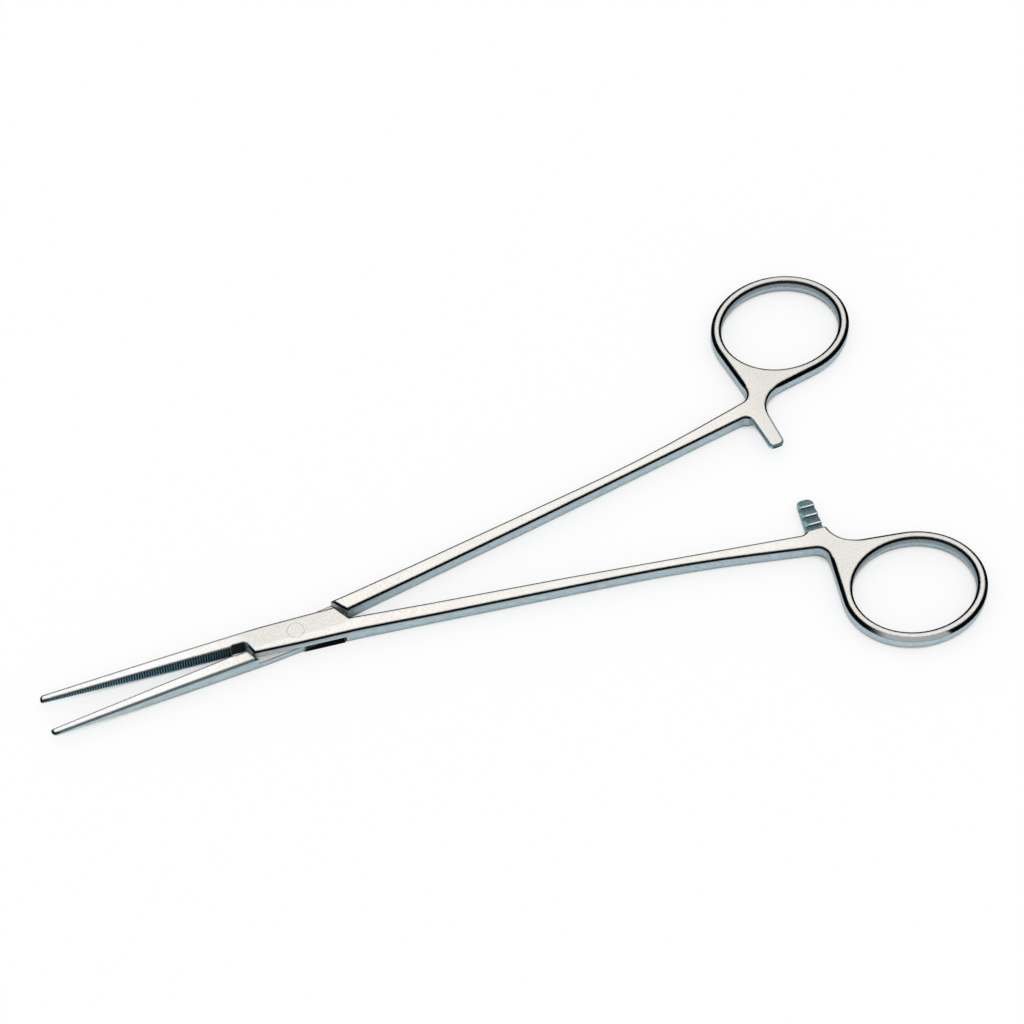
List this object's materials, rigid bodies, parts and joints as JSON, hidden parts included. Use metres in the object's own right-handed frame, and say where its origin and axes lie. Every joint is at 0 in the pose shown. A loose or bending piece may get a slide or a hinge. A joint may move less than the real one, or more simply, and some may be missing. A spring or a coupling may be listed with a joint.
{
  "type": "hemostat forceps",
  "caption": "Straight locking artery forceps with serrated jaws, riveted lap joint, slim shanks, finger rings and a toothed ratchet.",
  "frame": {"origin": "pivot axis in the plane that the joint lies on", "axes": "+Z along the pivot axis, up from the surface it lies on; +X from the pivot to the finger rings, along the middle between the shanks; jaws to -X"},
  "size_m": [0.178, 0.0898, 0.0036],
  "materials": {
    "satin_steel": "satin stainless steel, fine blasted flats and brighter bevels",
    "rivet_steel": "satin stainless steel, ground flush"
  },
  "bodies": {
    "under": {"under_half": "satin_steel", "pivot_rivet": "rivet_steel"},
    "over": {"over_half": "satin_steel"}
  },
  "joints": [
    {"name": "pivot", "type": "hinge", "parent": "under", "child": "over", "pos_m": [0, 0, 0], "axis": [0, 0, -1], "range_deg": [-7.25, 52.75]}
  ]
}
